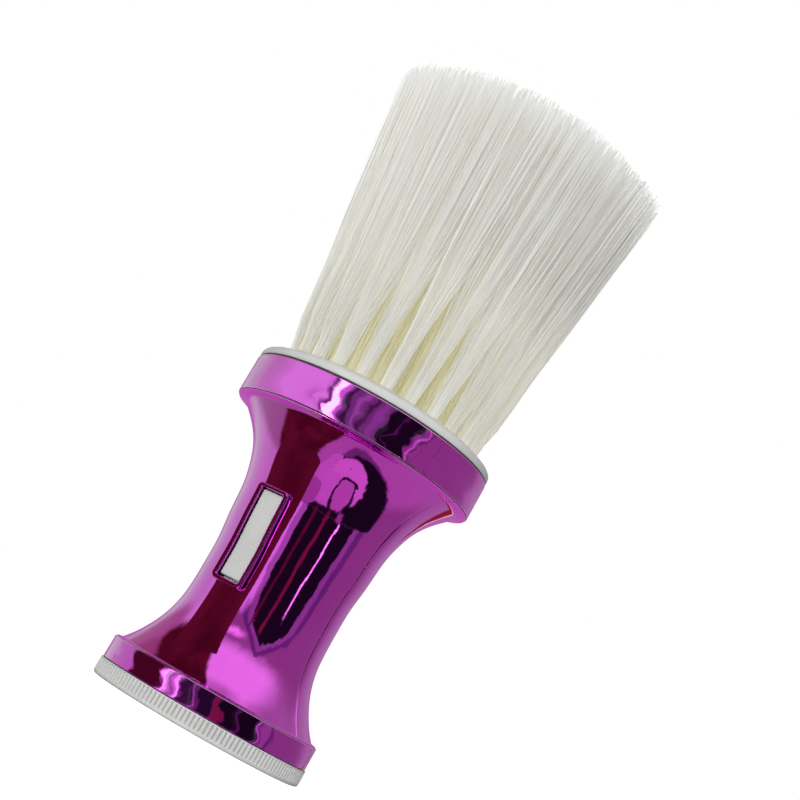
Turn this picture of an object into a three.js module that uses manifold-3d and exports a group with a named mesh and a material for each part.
// Neck duster brush with a powder handle.
// Millimetres, +Z up towards the bristles. The origin is the centre of the
// base cap's underside, where the brush stands. The thumb button faces -Y,
// called the front here, and the casing's seam lies in the plane Y = 0.
// Every turned outline is a list of [radius, z].
import * as THREE from 'three';
import { mergeVertices } from 'three/addons/utils/BufferGeometryUtils.js';
import Module from 'manifold-3d';

const wasm = await Module();
wasm.setup();

// --------------------------------------------------------- shared dimensions
const SEGMENTS = 40;            // facets round most turned pieces
const SMALL_SEGMENTS = 16;      // facets round the valve's pieces

const CAP_H = 4.2;
const NECK_R = 23.5;            // reservoir's threaded neck, outside

const BAND_GAP = 0.15;          // between a chrome band and the casing
const BASE_SLEEVE_R = 25.6;     // casing inside the base ring
const COLLAR_SLEEVE_R = 30.5;   // casing inside the collar ring
const COLLAR_BORE_R = 28.9;     // inside of the collar sleeve
const SHOULDER_Z = 75.3;        // casing's shoulder under the collar ring

const BEZEL_Z = [32.3, 57.3];   // raised frame round the button
const BEZEL_RISE = 1.45;        // frame's crest in front of the casing

const RAMP_SUM = 34.2;          // the rod's ramp lies on y + z = RAMP_SUM

// outside of the waisted casing
const WAIST = [
  [27.2, 9.97], [25.8, 10.4], [24.25, 12.2], [22.8, 14.4], [20.4, 19.0], [19.2, 22.5],
  [18.4, 27.0], [18.2, 33.0], [18.25, 40.0], [19.2, 49.0], [19.85, 56.5], [21.0, 61.4],
  [22.7, 66.0], [25.1, 69.7], [28.1, 72.9], [29.9, 74.5], [32.2, 75.2],
];

const FINISHES = {
  chrome: { color: 0xb24cb4, roughness: 0.08, metalness: 1.0 },
  white: { color: 0xf0f0ec, roughness: 0.35, metalness: 0.0 },
  inner: { color: 0xe6e8ea, roughness: 0.45, metalness: 0.0 },
  bristle: { color: 0xf7f7f2, roughness: 0.6, metalness: 0.0 },
  rubber: { color: 0x303234, roughness: 0.8, metalness: 0.0 },
  steel: { color: 0xb8bcc0, roughness: 0.3, metalness: 1.0 },
};

// ------------------------------------------------------------------- helpers
// a closed three.js geometry as a manifold-3d solid
function solid(geometry) {
  geometry.deleteAttribute('normal');
  geometry.deleteAttribute('uv');
  const merged = mergeVertices(geometry, 1e-4);
  const index = merged.index.array;
  const triangles = [];
  for (let i = 0; i < index.length; i += 3) {
    const [a, b, c] = [index[i], index[i + 1], index[i + 2]];
    if (a !== b && b !== c && c !== a) triangles.push(a, b, c);
  }
  return new wasm.Manifold(new wasm.Mesh({
    numProp: 3,
    vertProperties: new Float32Array(merged.attributes.position.array),
    triVerts: new Uint32Array(triangles),
  }));
}

function geometryOf(manifold) {
  const mesh = manifold.getMesh();
  const geometry = new THREE.BufferGeometry();
  geometry.setAttribute('position', new THREE.BufferAttribute(mesh.vertProperties, 3));
  geometry.setIndex(new THREE.BufferAttribute(mesh.triVerts, 1));
  geometry.computeVertexNormals();
  return geometry;
}

// piece turned about Z; the outline goes up the outside, and one that starts
// off the axis is closed into a ring
function turned(outline, segments = SEGMENTS) {
  const closed = outline[0][0] > 0 ? [...outline, outline[0]] : outline;
  const points = closed.map(([radius, z]) => new THREE.Vector2(radius, z));
  return solid(new THREE.LatheGeometry(points, segments).rotateX(Math.PI / 2));
}

// box centred on X = 0
function block(width, [y0, y1], [z0, z1]) {
  const geometry = new THREE.BoxGeometry(width, y1 - y0, z1 - z0);
  geometry.translate(0, (y0 + y1) / 2, (z0 + z1) / 2);
  return solid(geometry);
}

function uprightCylinder(radius, [z0, z1], segments) {
  const geometry = new THREE.CylinderGeometry(radius, radius, z1 - z0, segments);
  return geometry.rotateX(Math.PI / 2).translate(0, 0, (z0 + z1) / 2);
}

function post(radius, zRange, segments, x = 0, y = 0) {
  return solid(uprightCylinder(radius, zRange, segments).translate(x, y, 0));
}

// shape extruded with its own X, Y and depth laid along the given axes
function extruded(shape, depth, axes) {
  const vectors = axes.map((axis) => new THREE.Vector3(...axis));
  return new THREE.ExtrudeGeometry(shape, { depth, bevelEnabled: false, curveSegments: 3 })
    .applyMatrix4(new THREE.Matrix4().makeBasis(...vectors));
}

// rounded rectangle in X and Z, centred on X = 0 and run along Y
function pad(width, [z0, z1], corner, [y0, y1]) {
  const x = width / 2 - corner;
  const shape = new THREE.Shape();
  shape.moveTo(-x, z0);
  shape.lineTo(x, z0);
  const centres = [[x, z0 + corner], [x, z1 - corner], [-x, z1 - corner], [-x, z0 + corner]];
  centres.forEach(([cornerX, cornerZ], i) => {
    shape.absarc(cornerX, cornerZ, corner, ((i - 1) * Math.PI) / 2, (i * Math.PI) / 2, false);
  });
  return solid(extruded(shape, y1 - y0, [[1, 0, 0], [0, 0, 1], [0, -1, 0]])
    .translate(0, y1, 0));
}

// polygon of [y, z] points, run along X
function slab(points, [x0, x1]) {
  const shape = new THREE.Shape(points.map(([y, z]) => new THREE.Vector2(y, z)));
  return solid(extruded(shape, x1 - x0, [[0, 1, 0], [0, 0, 1], [1, 0, 0]])
    .translate(x0, 0, 0));
}

class Helix extends THREE.Curve {
  // sizes: radius, pitch, z0, turns and phase
  constructor(sizes) {
    super();
    Object.assign(this, sizes);
  }

  getPoint(t, target = new THREE.Vector3()) {
    const angle = this.phase + 2 * Math.PI * this.turns * t;
    return target.set(this.radius * Math.cos(angle), this.radius * Math.sin(angle),
      this.z0 + this.pitch * this.turns * t);
  }
}

// round wire along a helix
function coil({ wireRadius, sides, stepsPerTurn, ...helix }) {
  const section = [];
  for (let i = 0; i < sides; i++) {
    const angle = (2 * Math.PI * i) / sides;
    section.push(new THREE.Vector2(wireRadius * Math.cos(angle), wireRadius * Math.sin(angle)));
  }
  return solid(new THREE.ExtrudeGeometry(new THREE.Shape(section), {
    steps: Math.round(helix.turns * stepsPerTurn),
    extrudePath: new Helix(helix),
    bevelEnabled: false,
  }));
}

const THREAD = { pitch: 2.5, wireRadius: 0.7, sides: 6, stepsPerTurn: 36 };

function addMesh(group, name, geometry, finish) {
  const mesh = new THREE.Mesh(geometry, new THREE.MeshStandardMaterial(finish));
  mesh.name = name;
  group.add(mesh);
  return mesh;
}

function addSolid(group, name, manifold, finish) {
  addMesh(group, name, geometryOf(manifold), finish);
}

// ------------------------------------------------------------------ base cap
const CAP_R = 27.8;
const CAP_FLOOR = 2.0;
const CAP_RIBS = 150;           // grip ribs round the cap's wall
const CAP_SEGMENTS = CAP_RIBS / 3;
const RIB_VALLEY_R = 27.35;     // radius at the bottom of the grooves
const RIB_Z = [1.1, 3.85];
const SPIGOT_R = 21.2;
const SPIGOT_BORE_R = 19.6;
const SPIGOT_TOP = 10.2;

// star-shaped core that leaves a V groove between neighbouring ribs
function ribCore() {
  const steps = CAP_RIBS * 3;
  const geometry = uprightCylinder(1, RIB_Z, steps);
  const position = geometry.attributes.position;
  for (let i = 0; i < position.count; i++) {
    const [x, y] = [position.getX(i), position.getY(i)];
    const isCentre = Math.hypot(x, y) < 0.5;
    if (isCentre) continue;
    const turn = Math.atan2(x, -y) / (2 * Math.PI);
    const step = (Math.round(turn * steps) + steps) % steps;
    const radius = step % 3 === 1 ? RIB_VALLEY_R : CAP_R + 0.2;
    const angle = (2 * Math.PI * step) / steps;
    position.setXY(i, radius * Math.sin(angle), -radius * Math.cos(angle));
  }
  return solid(geometry);
}

// shallow lid with a hollow threaded spigot
function baseCap() {
  const disc = turned([
    [0, 0], [26.9, 0], [27.5, 0.35], [CAP_R, 1.0], [CAP_R, CAP_H],
    [SPIGOT_R, CAP_H], [SPIGOT_R, SPIGOT_TOP], [SPIGOT_BORE_R, SPIGOT_TOP],
    [SPIGOT_BORE_R, CAP_FLOOR], [0, CAP_FLOOR],
  ], CAP_SEGMENTS);
  const grooves = post(CAP_R + 1, RIB_Z, CAP_SEGMENTS).subtract(ribCore());
  const thread = coil({ ...THREAD, radius: SPIGOT_R, z0: 5.7, turns: 1.4, phase: 0 });
  return disc.subtract(grooves).add(thread);
}

function capSeal() {
  const [bottom, top] = [CAP_H + 0.1, 5.0];
  return turned([[22.1, bottom], [NECK_R, bottom], [NECK_R, top], [22.1, top]]);
}

// -------------------------------------------------------------- chrome bands
function baseRing() {
  const [bore, radius] = [BASE_SLEEVE_R + BAND_GAP, 27.5];
  const [bottom, top] = [4.35, 9.87];
  return turned([
    [bore, bottom], [27.25, bottom], [radius, bottom + 0.25],
    [radius, top - 0.2], [27.3, top], [bore, top],
  ]);
}

// band with an inward lip over the top of the casing's sleeve
function collarRing() {
  const [bore, lipBore, radius] = [COLLAR_SLEEVE_R + BAND_GAP, COLLAR_BORE_R + BAND_GAP, 32.45];
  const [bottom, lipUnder, top] = [SHOULDER_Z + BAND_GAP, 82.25, 85.0];
  return turned([
    [bore, bottom], [32.2, bottom], [radius, bottom + 0.25],
    [radius, top - 0.3], [32.15, top], [lipBore, top],
    [lipBore, lipUnder], [bore, lipUnder],
  ]);
}

// -------------------------------------------------------------------- casing
const SEAM_GAP = 0.2;           // between the casing's two halves
const SLEEVE_TOP = 82.0;
const BEZEL_W = 9.6;
const BEZEL_CORNER = 1.2;
const BEZEL_LAP = 0.2;          // frame's overlap on the casing round its edge
const WINDOW_W = 6.8;
const WINDOW_Z = [33.4, 56.3];

// inside of the casing above the base sleeve, going down
const CASING_INSIDE = [
  [COLLAR_BORE_R, 77.4], [25.6, 73.0], [22.9, 69.7], [20.9, 66.0], [19.3, 61.4], [18.15, 56.5],
  [17.5, 49.0], [16.6, 40.0], [16.6, 33.0], [16.8, 27.0], [17.5, 22.5], [18.6, 19.0],
  [20.8, 14.4], [22.6, 12.0], [23.9, 10.6],
];

// Both halves are cut from this wall: a sleeve inside each band, the waist,
// and the flare under the collar.
function casingHalf(yRange) {
  const wall = turned([
    [23.9, 4.9], [BASE_SLEEVE_R, 4.9], [BASE_SLEEVE_R, WAIST[0][1]],
    ...WAIST,
    [32.2, SHOULDER_Z], [COLLAR_SLEEVE_R, SHOULDER_Z],
    [COLLAR_SLEEVE_R, SLEEVE_TOP], [COLLAR_BORE_R, SLEEVE_TOP],
    ...CASING_INSIDE,
  ]);
  return wall.intersect(block(80, yRange, [0, 100]));
}

function waistRadius(z) {
  const above = WAIST.findIndex(([, stationZ]) => z <= stationZ);
  const [r0, z0] = WAIST[above - 1];
  const [r1, z1] = WAIST[above];
  return THREE.MathUtils.mapLinear(z, z0, z1, r0, r1);
}

// solid behind the frame's crest, or behind a face set back from it by inset;
// it follows the waist's curve and is flat from side to side
function crest(inset) {
  const [z0, z1] = [BEZEL_Z[0] - 2, BEZEL_Z[1] + 2];
  const steps = 8;
  const points = [];
  for (let i = 0; i <= steps; i++) {
    const z = z0 + ((z1 - z0) * i) / steps;
    points.push([-(waistRadius(z) + BEZEL_RISE - inset), z]);
  }
  points.push([0, z1], [0, z0]);
  return slab(points.reverse(), [-8, 8]);
}

// the casing inside the frame's outline is cut away and the frame fills it
function frontShell() {
  const frame = pad(BEZEL_W, BEZEL_Z, BEZEL_CORNER, [-24, -16]).intersect(crest(0));
  const opening = pad(BEZEL_W - 2 * BEZEL_LAP, [BEZEL_Z[0] + BEZEL_LAP, BEZEL_Z[1] - BEZEL_LAP],
    BEZEL_CORNER - BEZEL_LAP, [-26, -10]);
  return casingHalf([-40, -SEAM_GAP / 2])
    .subtract(opening)
    .add(frame)
    .subtract(pad(WINDOW_W, WINDOW_Z, 0.6, [-26, -12]));
}

// ----------------------------------------------------------------- reservoir
const NECK_BORE_R = 22.2;
const RES_R = 16.0;             // straight part
const RES_WALL = 1.3;
const RES_INNER_R = RES_R - RES_WALL;
const RES_TOP = 72.0;
const RES_FLAT_Y = -7.0;        // flat that leaves room for the button gear
const RES_FLAT_Z = 20.5;        // lower end of the flat
const OUTLET_R = 3.4;
const OUTLET_SEAT_R = 4.3;

// turned bottle with its front cut flat, both moved inwards by inset
function bottle(outline, inset) {
  return turned(outline)
    .subtract(block(60, [-30, RES_FLAT_Y + inset], [RES_FLAT_Z - inset, 80]));
}

// round threaded neck, D-shaped bottle, and an outlet with a raised seat
function powderReservoir() {
  const outside = bottle([
    [0, 5.1], [NECK_R, 5.1], [NECK_R, 10.4], [22.2, 12.0], [20.35, 14.6], [18.1, 19.4],
    [16.9, 23.0], [RES_R, 28.0], [RES_R, RES_TOP], [0, RES_TOP],
  ], 0);
  const inside = bottle([
    [0, 4.0], [NECK_BORE_R, 4.0], [NECK_BORE_R, 10.6], [20.9, 12.2], [18.9, 14.9],
    [16.7, 19.6], [15.5, 23.2], [RES_INNER_R, 28.1], [RES_INNER_R, RES_TOP - RES_WALL],
    [0, RES_TOP - RES_WALL],
  ], RES_WALL);
  return outside.subtract(inside)
    .add(coil({ ...THREAD, radius: NECK_BORE_R, z0: 5.95, turns: 1.5, phase: Math.PI }))
    .add(post(OUTLET_SEAT_R, [RES_TOP - 0.3, RES_TOP + 0.6], SMALL_SEGMENTS))
    .subtract(post(OUTLET_R, [RES_TOP - 4, RES_TOP + 2], SMALL_SEGMENTS));
}

// -------------------------------------------------------------- button gear
const BUTTON_W = 6.4;
const BUTTON_Z = [34.0, 56.1];
const BUTTON_RECESS = 1.0;      // button face below the frame's crest
const BUTTON_BACK_Y = -14.7;
const RAMP_GAP = 0.3;           // between the button's ribs and the rod's ramp

// channel open to the front
function buttonGuide() {
  return block(12.8, [-15.0, -7.3], [30, 60])
    .subtract(block(10.4, [-16, -8.4], [28, 62]));
}

// hollow button with a flange behind the window and two ramped ribs
function powderButton() {
  const rampSum = RAMP_SUM - RAMP_GAP;
  const [ribFront, rampFront, ribBack] = [-16.6, -14.2, -11.2];
  const ribBottom = 41.5;
  const rib = [
    [ribFront, ribBottom], [ribBack, ribBottom], [ribBack, rampSum - ribBack],
    [rampFront, rampSum - rampFront], [ribFront, rampSum - rampFront],
  ];
  return pad(BUTTON_W, BUTTON_Z, 0.5, [-24, BUTTON_BACK_Y])
    .intersect(crest(BUTTON_RECESS))
    .add(pad(9.2, [32.7, 57.0], 0.5, [BUTTON_BACK_Y - 1, BUTTON_BACK_Y]))
    .subtract(pad(4.7, [35.4, 54.8], 0.4, [-16.4, -10]))
    .add(slab(rib, [2.3, 3.1]))
    .add(slab(rib, [-3.1, -2.3]));
}

// --------------------------------------------------------------------- valve
const ROD_W = 4;
const ROD_Y = [-10.4, -8.8];
const ARM_Z = [76, 78];         // arm from the rod's top to the stopper

// upright strip with a ramped foot, and an arm ending in an eye on the axis
function liftRod() {
  const [footFront, footBack, footTop] = [-11.6, ROD_Y[1], 48.4];
  const foot = [
    [footBack, RAMP_SUM - footBack], [footBack, footTop],
    [footFront, footTop], [footFront, RAMP_SUM - footFront],
  ];
  return block(ROD_W, ROD_Y, [42.6, ARM_Z[1]])
    .add(slab(foot, [-4.5, 4.5]))
    .add(block(ROD_W, [ROD_Y[0], 0], ARM_Z))
    .add(post(3.7, ARM_Z, SMALL_SEGMENTS))
    .subtract(post(1.7, [ARM_Z[0] - 1, ARM_Z[1] + 1], 12));
}

// disc with a stem and a barbed tip through the rod's eye
function valveStopper() {
  return turned([
    [0, 72.75], [4.3, 72.75], [4.6, 73.1], [4.6, 74.4], [4.3, 74.75], [2.6, 74.75],
    [2.6, 75.85], [1.5, 75.85], [1.5, 78.15], [2.1, 78.15], [2.1, 78.6], [1.5, 79.3],
    [0, 79.3],
  ], SMALL_SEGMENTS);
}

function valveSpring() {
  return coil({
    radius: 3.0,
    pitch: 1.62,
    z0: 78.6,
    turns: 4.4,
    phase: 0,
    wireRadius: 0.35,
    sides: 5,
    stepsPerTurn: 12,
  });
}

// ------------------------------------------------------ tuft plate and tufts
const PLATE_TOP = 88.95;
const PLATE_UNDER = 86.4;
const BOSS_BORE_R = 5.7;
const BOSS_R = 6.8;
const BOSS_BOTTOM = 72.3;
const SKIRT_BORE_R = 27.3;
const SKIRT_R = 28.7;
const SKIRT_BOTTOM = 79.0;
const RIM_UNDER = 85.4;
const SMALL_HOLES = 8;          // holes through the plate inside the boss
const SMALL_HOLE_PCR = 4.65;

const TUFT_FOOT_Z = 87.4;
const TUFT_SPREAD_Z = 112.0;    // the tufts are packed together from here up
const TUFT_TIP_Z = 168.6;
const TUFT_TURN = THREE.MathUtils.degToRad(-88);    // from +X to the first tuft
const TUFT_SIDES = 8;
const TUFT_SIDE_GAP = 0.2;      // taken off each side of a tuft's sector
// rings of tufts: count, hole circle radius, and the share of the fan that
// each ring fills at TUFT_SPREAD_Z and at the tips, as [inner, outer] radius
const RINGS = [
  { name: 'outer', count: 24, pcr: 25.4, low: [21.6, 29.75], tip: [26.9, 37.35] },
  { name: 'middle', count: 16, pcr: 18.2, low: [11.2, 21.3], tip: [13.9, 26.6] },
  { name: 'inner', count: 6, pcr: 11.0, low: [2.0, 10.9], tip: [1.5, 13.6] },
];

function tuftAngle(ring, i) {
  return TUFT_TURN + (2 * Math.PI * i) / ring.count;
}

// domed rim, skirt that plugs into the collar, and a central boss over the
// outlet with a slot for the rod's arm
function tuftPlate() {
  let plate = turned([
    [0, PLATE_UNDER], [BOSS_BORE_R, PLATE_UNDER], [BOSS_BORE_R, BOSS_BOTTOM],
    [BOSS_R, BOSS_BOTTOM], [BOSS_R, PLATE_UNDER],
    [SKIRT_BORE_R, PLATE_UNDER], [SKIRT_BORE_R, SKIRT_BOTTOM],
    [SKIRT_R, SKIRT_BOTTOM], [SKIRT_R, RIM_UNDER],
    [32.15, RIM_UNDER], [32.35, 86.5], [32.1, 87.15], [31.5, 87.6], [30.4, 88.1],
    [29.2, 88.5], [28.2, 88.8], [27.3, PLATE_TOP], [0, PLATE_TOP],
  ]).subtract(block(4.6, [-8, -4], [70, 81]));

  const drill = (angle, pcr, radius, zRange) => {
    plate = plate.subtract(
      post(radius, zRange, 6, pcr * Math.cos(angle), pcr * Math.sin(angle)));
  };
  for (let i = 0; i < SMALL_HOLES; i++) {
    drill((2 * Math.PI * (i + 0.5)) / SMALL_HOLES, SMALL_HOLE_PCR, 0.75, [84, 92]);
  }
  for (const ring of RINGS) {
    for (let i = 0; i < ring.count; i++) {
      drill(tuftAngle(ring, i), ring.pcr, 1.8, [TUFT_FOOT_Z - 0.3, 93]);
    }
  }
  return plate;
}

// A level places a point of the unit circle, given as (radial, across), in
// the tuft's own frame: X radial, Y across, Z up.
function roundLevel(z, centre, radius) {
  return (radial, across) => [centre + radius * radial, radius * across, z];
}

// the circle is squared off to fill the tuft's sector between two radii
function shareLevel(z, [inner, outer], sector) {
  return (radial, across) => {
    const reach = Math.max(Math.abs(radial), Math.abs(across)) || 1;
    const side = across / reach;
    const distance = (inner + outer) / 2 + ((radial / reach) * (outer - inner)) / 2;
    const angle = (side * sector) / 2;
    return [distance * Math.cos(angle), distance * Math.sin(angle) - TUFT_SIDE_GAP * side, z];
  };
}

// round in its hole, spreading to fill its share of the fan
function tuftGeometry({ count, pcr, low, tip }) {
  const sector = (2 * Math.PI) / count;
  const levels = [
    roundLevel(TUFT_FOOT_Z, pcr, 1.35),
    roundLevel(PLATE_TOP, pcr, 1.4),
    roundLevel(92.0, pcr + 0.1, 1.65),
    shareLevel(TUFT_SPREAD_Z, low, sector),
    shareLevel(TUFT_TIP_Z, tip, sector),
  ];
  const spans = levels.length - 1;
  const geometry = new THREE.CylinderGeometry(1, 1, spans, TUFT_SIDES, spans);
  const position = geometry.attributes.position;
  for (let i = 0; i < position.count; i++) {
    const place = levels[Math.round(position.getY(i) + spans / 2)];
    position.setXYZ(i, ...place(position.getZ(i), position.getX(i)));
  }
  return geometry;
}

function addTufts(group) {
  for (const ring of RINGS) {
    for (let i = 0; i < ring.count; i++) {
      const name = `tuft_${ring.name}_${String(i + 1).padStart(2, '0')}`;
      const mesh = addMesh(group, name, tuftGeometry(ring), FINISHES.bristle);
      mesh.rotation.z = tuftAngle(ring, i);
    }
  }
}

// ------------------------------------------------------------------ assembly
const cap = new THREE.Group();
addSolid(cap, 'base_cap', baseCap(), FINISHES.white);
addSolid(cap, 'cap_seal', capSeal(), FINISHES.rubber);

const button = new THREE.Group();
addSolid(button, 'powder_button', powderButton(), FINISHES.white);

const valve = new THREE.Group();
addSolid(valve, 'lift_rod', liftRod(), FINISHES.inner);
addSolid(valve, 'valve_stopper', valveStopper(), FINISHES.rubber);
addSolid(valve, 'valve_spring', valveSpring(), FINISHES.steel);

const handle = new THREE.Group();
addSolid(handle, 'base_ring', baseRing(), FINISHES.chrome);
addSolid(handle, 'collar_ring', collarRing(), FINISHES.chrome);
addSolid(handle, 'front_shell', frontShell(), FINISHES.chrome);
addSolid(handle, 'rear_shell', casingHalf([SEAM_GAP / 2, 40]), FINISHES.chrome);
addSolid(handle, 'powder_reservoir', powderReservoir(), FINISHES.inner);
addSolid(handle, 'button_guide', buttonGuide(), FINISHES.inner);
addTufts(handle);
addSolid(handle, 'tuft_plate', tuftPlate(), FINISHES.white);

const brush = new THREE.Group();
brush.add(cap, button, valve, handle);

export default brush;
